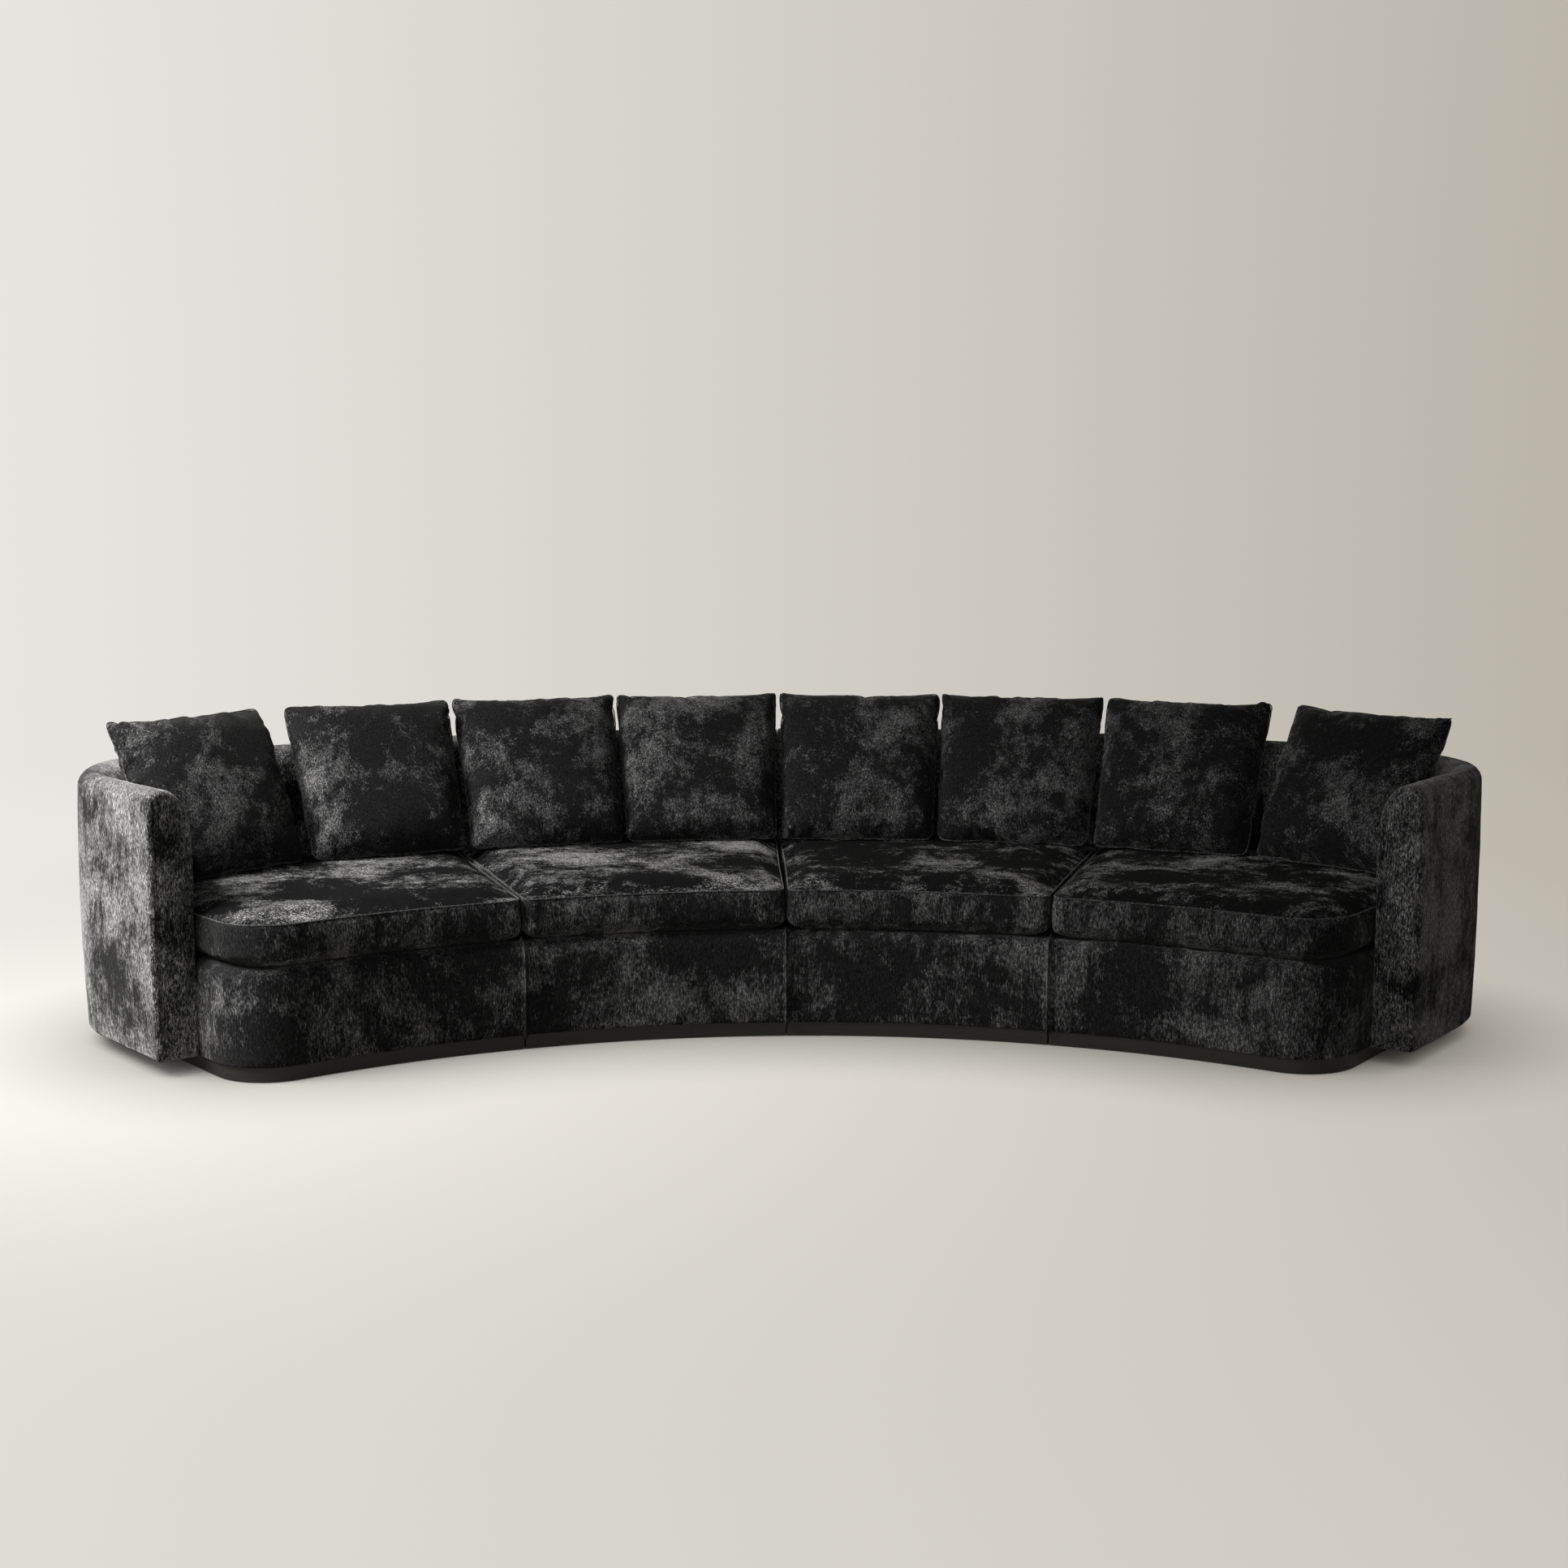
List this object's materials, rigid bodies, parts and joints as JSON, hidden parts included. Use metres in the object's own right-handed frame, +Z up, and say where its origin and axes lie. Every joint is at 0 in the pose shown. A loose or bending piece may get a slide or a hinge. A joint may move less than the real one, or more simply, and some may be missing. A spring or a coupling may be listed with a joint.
{
  "type": "curved sectional sofa",
  "caption": "Curved modular sectional sofa with wrap-around arms, boxed seat cushions and loose knife-edge back pillows on a dark plinth.",
  "frame": {"origin": "on the floor at the middle of the plan of the whole row", "axes": "+X to the right of the row seen from the front, +Y to the back, +Z up; the seats face -Y"},
  "size_m": [3.8396, 1.4108, 0.8668],
  "materials": {
    "velvet": "crushed velvet",
    "plinth_wood": "dark satin stain",
    "frame_wood": "raw board",
    "webbing": "woven elastic",
    "dust_cloth": "non-woven cloth",
    "deck_cloth": "plain black cloth",
    "glide_nylon": "matte",
    "connector_steel": "zinc plated"
  },
  "bodies": {
    "left_end": {"left_end_plinth": "plinth_wood", "left_end_glides": "glide_nylon", "left_end_seat_frame": "frame_wood", "left_end_webbing": "webbing", "left_end_dust_cover": "dust_cloth", "left_end_base_cover": "velvet", "left_end_deck_pad": "deck_cloth", "left_end_back_frame": "frame_wood", "left_end_back_cover": "velvet", "left_seam_pins": "connector_steel"},
    "left_middle": {"left_middle_plinth": "plinth_wood", "left_middle_glides": "glide_nylon", "left_middle_seat_frame": "frame_wood", "left_middle_webbing": "webbing", "left_middle_dust_cover": "dust_cloth", "left_middle_base_cover": "velvet", "left_middle_deck_pad": "deck_cloth", "left_middle_back_frame": "frame_wood", "left_middle_back_cover": "velvet", "middle_seam_plates": "connector_steel", "left_seam_plates": "connector_steel"},
    "right_middle": {"right_middle_plinth": "plinth_wood", "right_middle_glides": "glide_nylon", "right_middle_seat_frame": "frame_wood", "right_middle_webbing": "webbing", "right_middle_dust_cover": "dust_cloth", "right_middle_base_cover": "velvet", "right_middle_deck_pad": "deck_cloth", "right_middle_back_frame": "frame_wood", "right_middle_back_cover": "velvet", "middle_seam_pins": "connector_steel", "right_seam_plates": "connector_steel"},
    "right_end": {"right_end_plinth": "plinth_wood", "right_end_glides": "glide_nylon", "right_end_seat_frame": "frame_wood", "right_end_webbing": "webbing", "right_end_dust_cover": "dust_cloth", "right_end_base_cover": "velvet", "right_end_deck_pad": "deck_cloth", "right_end_back_frame": "frame_wood", "right_end_back_cover": "velvet", "right_seam_pins": "connector_steel"},
    "left_end_seat_cushion": {"left_end_seat_cushion": "velvet"},
    "left_end_pillow_inner": {"left_end_pillow_inner": "velvet"},
    "left_end_pillow_outer": {"left_end_pillow_outer": "velvet"},
    "left_middle_seat_cushion": {"left_middle_seat_cushion": "velvet"},
    "left_middle_pillow_inner": {"left_middle_pillow_inner": "velvet"},
    "left_middle_pillow_outer": {"left_middle_pillow_outer": "velvet"},
    "right_middle_seat_cushion": {"right_middle_seat_cushion": "velvet"},
    "right_middle_pillow_inner": {"right_middle_pillow_inner": "velvet"},
    "right_middle_pillow_outer": {"right_middle_pillow_outer": "velvet"},
    "right_end_seat_cushion": {"right_end_seat_cushion": "velvet"},
    "right_end_pillow_inner": {"right_end_pillow_inner": "velvet"},
    "right_end_pillow_outer": {"right_end_pillow_outer": "velvet"}
  },
  "joints": [
    {"name": "left_end_lift", "type": "slide", "parent": "left_middle", "child": "left_end", "axis": [0, 0, 1], "range_m": [0, 0.05]},
    {"name": "right_middle_lift", "type": "slide", "parent": "left_middle", "child": "right_middle", "axis": [0, 0, 1], "range_m": [0, 0.05]},
    {"name": "right_end_lift", "type": "slide", "parent": "right_middle", "child": "right_end", "axis": [0, 0, 1], "range_m": [0, 0.05]},
    {"name": "left_end_cushion_lift", "type": "slide", "parent": "left_end", "child": "left_end_seat_cushion", "axis": [0, 0, 1], "range_m": [0, 0.25]},
    {"name": "left_end_pillow_inner_lift", "type": "slide", "parent": "left_end_seat_cushion", "child": "left_end_pillow_inner", "axis": [0, 0, 1], "range_m": [0, 0.35]},
    {"name": "left_end_pillow_outer_lift", "type": "slide", "parent": "left_end_seat_cushion", "child": "left_end_pillow_outer", "axis": [0, 0, 1], "range_m": [0, 0.35]},
    {"name": "left_middle_cushion_lift", "type": "slide", "parent": "left_middle", "child": "left_middle_seat_cushion", "axis": [0, 0, 1], "range_m": [0, 0.25]},
    {"name": "left_middle_pillow_inner_lift", "type": "slide", "parent": "left_middle_seat_cushion", "child": "left_middle_pillow_inner", "axis": [0, 0, 1], "range_m": [0, 0.35]},
    {"name": "left_middle_pillow_outer_lift", "type": "slide", "parent": "left_middle_seat_cushion", "child": "left_middle_pillow_outer", "axis": [0, 0, 1], "range_m": [0, 0.35]},
    {"name": "right_middle_cushion_lift", "type": "slide", "parent": "right_middle", "child": "right_middle_seat_cushion", "axis": [0, 0, 1], "range_m": [0, 0.25]},
    {"name": "right_middle_pillow_inner_lift", "type": "slide", "parent": "right_middle_seat_cushion", "child": "right_middle_pillow_inner", "axis": [0, 0, 1], "range_m": [0, 0.35]},
    {"name": "right_middle_pillow_outer_lift", "type": "slide", "parent": "right_middle_seat_cushion", "child": "right_middle_pillow_outer", "axis": [0, 0, 1], "range_m": [0, 0.35]},
    {"name": "right_end_cushion_lift", "type": "slide", "parent": "right_end", "child": "right_end_seat_cushion", "axis": [0, 0, 1], "range_m": [0, 0.25]},
    {"name": "right_end_pillow_inner_lift", "type": "slide", "parent": "right_end_seat_cushion", "child": "right_end_pillow_inner", "axis": [0, 0, 1], "range_m": [0, 0.35]},
    {"name": "right_end_pillow_outer_lift", "type": "slide", "parent": "right_end_seat_cushion", "child": "right_end_pillow_outer", "axis": [0, 0, 1], "range_m": [0, 0.35]}
  ]
}
